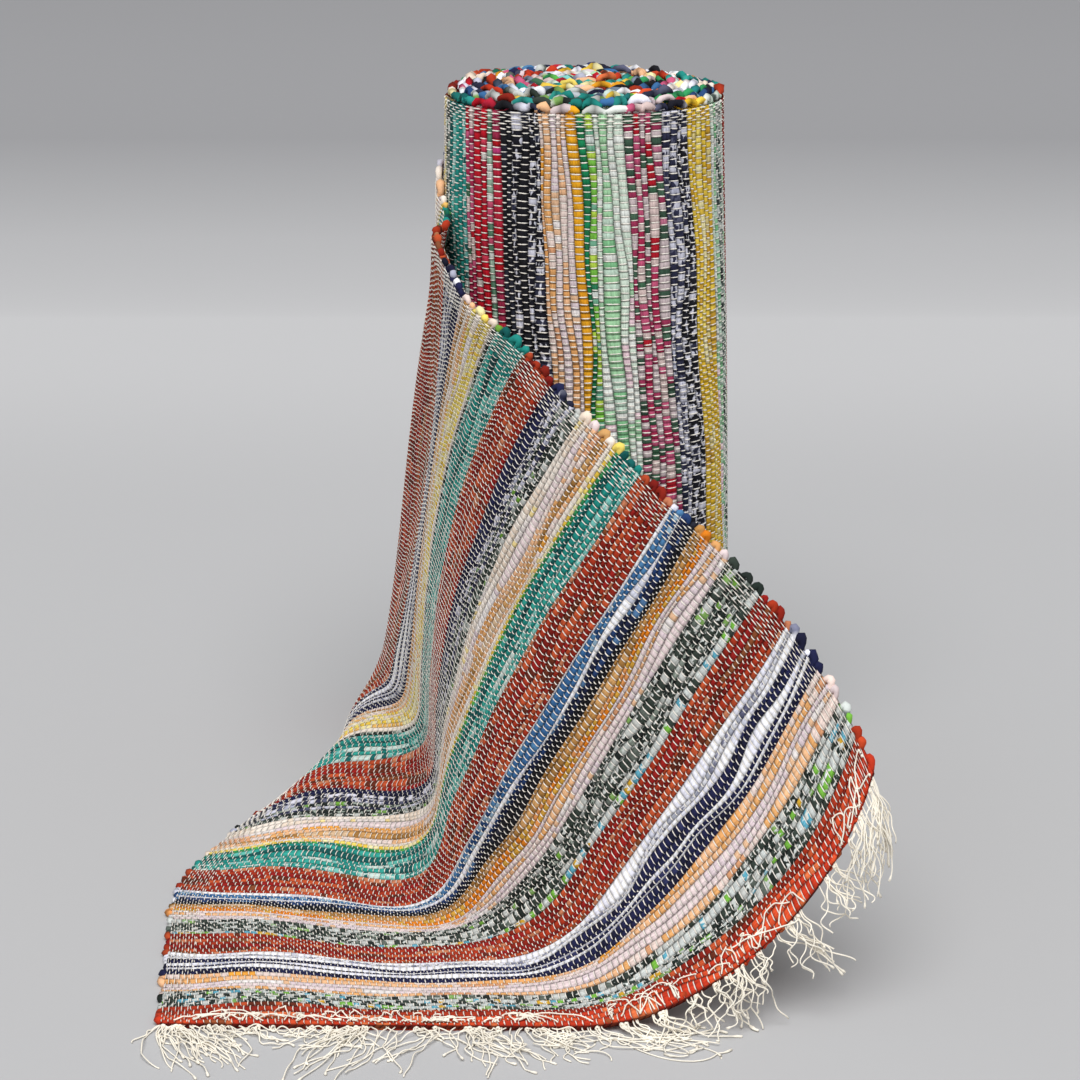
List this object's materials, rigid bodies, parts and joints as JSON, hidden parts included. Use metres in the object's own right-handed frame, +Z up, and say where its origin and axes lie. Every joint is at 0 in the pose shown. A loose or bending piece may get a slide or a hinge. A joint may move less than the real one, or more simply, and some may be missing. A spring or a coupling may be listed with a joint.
{
  "type": "rag rug",
  "caption": "Striped cotton rag rug, rolled up and stood on end, with its loose end draped round the roll down to the floor and a knotted fringe along the hem",
  "frame": {"origin": "centre of the roll's foot, on the floor", "axes": "+Z up along the roll, -Y towards the hem of the loose end"},
  "size_m": [0.6212, 1.0302, 0.7],
  "materials": {
    "roll_weave": "matt rag weft in many colours over a cream cotton warp",
    "loose_end_weave": "matt rag weft, mostly rust, with bands of other colours, over a cream cotton warp",
    "warp_yarn": "matt cream cotton yarn"
  },
  "bodies": {
    "root": {"rug_roll": "roll_weave", "rug_loose_end": "loose_end_weave", "fringe_floor": "warp_yarn", "fringe_raised": "warp_yarn"}
  },
  "joints": []
}
